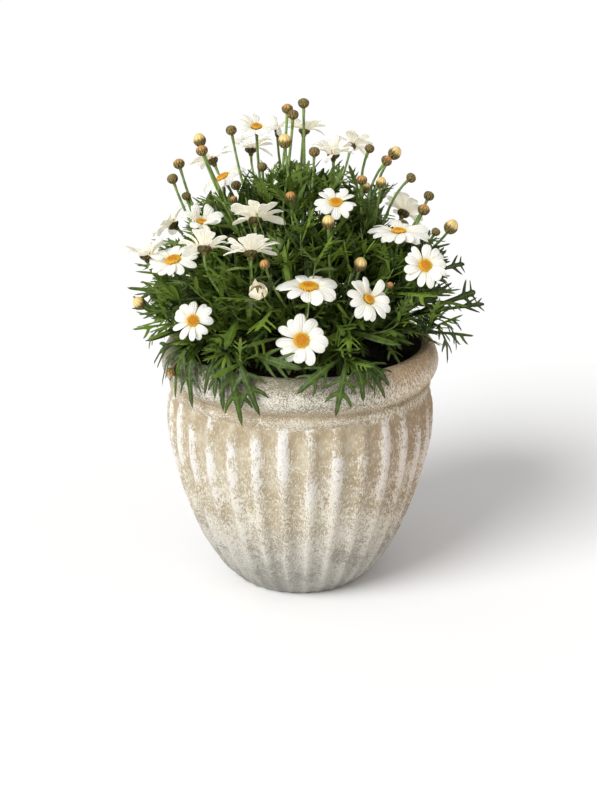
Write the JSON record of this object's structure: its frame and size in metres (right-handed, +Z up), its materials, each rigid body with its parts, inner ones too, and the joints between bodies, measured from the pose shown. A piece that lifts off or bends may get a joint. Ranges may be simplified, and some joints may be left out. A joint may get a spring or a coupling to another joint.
{
  "type": "potted marguerite daisy",
  "caption": "White marguerite daisy in bloom: leafy forking stems with buds and yellow-centred blooms, growing in soil in a fluted, whitewashed planter.",
  "frame": {"origin": "middle of the pot's flat underside, on the ground", "axes": "+Z up, -Y towards the side seen in the picture, +X to its right"},
  "size_m": [0.3191, 0.281, 0.436],
  "materials": {
    "pot_clay": "matte",
    "soil": "matte",
    "leaf_green": "satin",
    "petal": "satin",
    "disc": "matte"
  },
  "bodies": {
    "root": {"pot": "pot_clay", "soil": "soil", "stem_front": "leaf_green", "stem_front_right": "leaf_green", "stem_right_front": "leaf_green", "stem_right": "leaf_green", "stem_back": "leaf_green", "stem_left": "leaf_green", "stem_front_left": "leaf_green", "stem_inner_front": "leaf_green", "stem_inner_back": "leaf_green", "stem_inner_left": "leaf_green", "bloom_01_petals": "petal", "bloom_01_disc": "disc", "bloom_02_petals": "petal", "bloom_02_disc": "disc", "bloom_03_petals": "petal", "bloom_03_disc": "disc", "bloom_04_petals": "petal", "bloom_04_disc": "disc", "bloom_05_petals": "petal", "bloom_05_disc": "disc", "bloom_06_petals": "petal", "bloom_06_disc": "disc", "bloom_07_petals": "petal", "bloom_07_disc": "disc", "bloom_08_petals": "petal", "bloom_08_disc": "disc", "bloom_09_petals": "petal", "bloom_09_disc": "disc", "bloom_10_petals": "petal", "bloom_10_disc": "disc", "bloom_11_petals": "petal", "bloom_11_disc": "disc", "bloom_12_petals": "petal", "bloom_12_disc": "disc", "bloom_13_petals": "petal", "bloom_13_disc": "disc", "bloom_14_petals": "petal", "bloom_14_disc": "disc", "bloom_15_petals": "petal", "bloom_15_disc": "disc", "bloom_16_petals": "petal", "bloom_16_disc": "disc", "bloom_17_petals": "petal", "bloom_17_disc": "disc", "bloom_18_petals": "petal", "bloom_18_disc": "disc", "bloom_19_petals": "petal", "bloom_19_disc": "disc", "bloom_20_petals": "petal", "bloom_20_disc": "disc", "bloom_21_petals": "petal", "bloom_21_disc": "disc", "bloom_22_petals": "petal", "bloom_22_disc": "disc", "bloom_23_petals": "petal", "bloom_23_disc": "disc", "bloom_24_petals": "petal", "bloom_24_disc": "disc"}
  },
  "joints": []
}
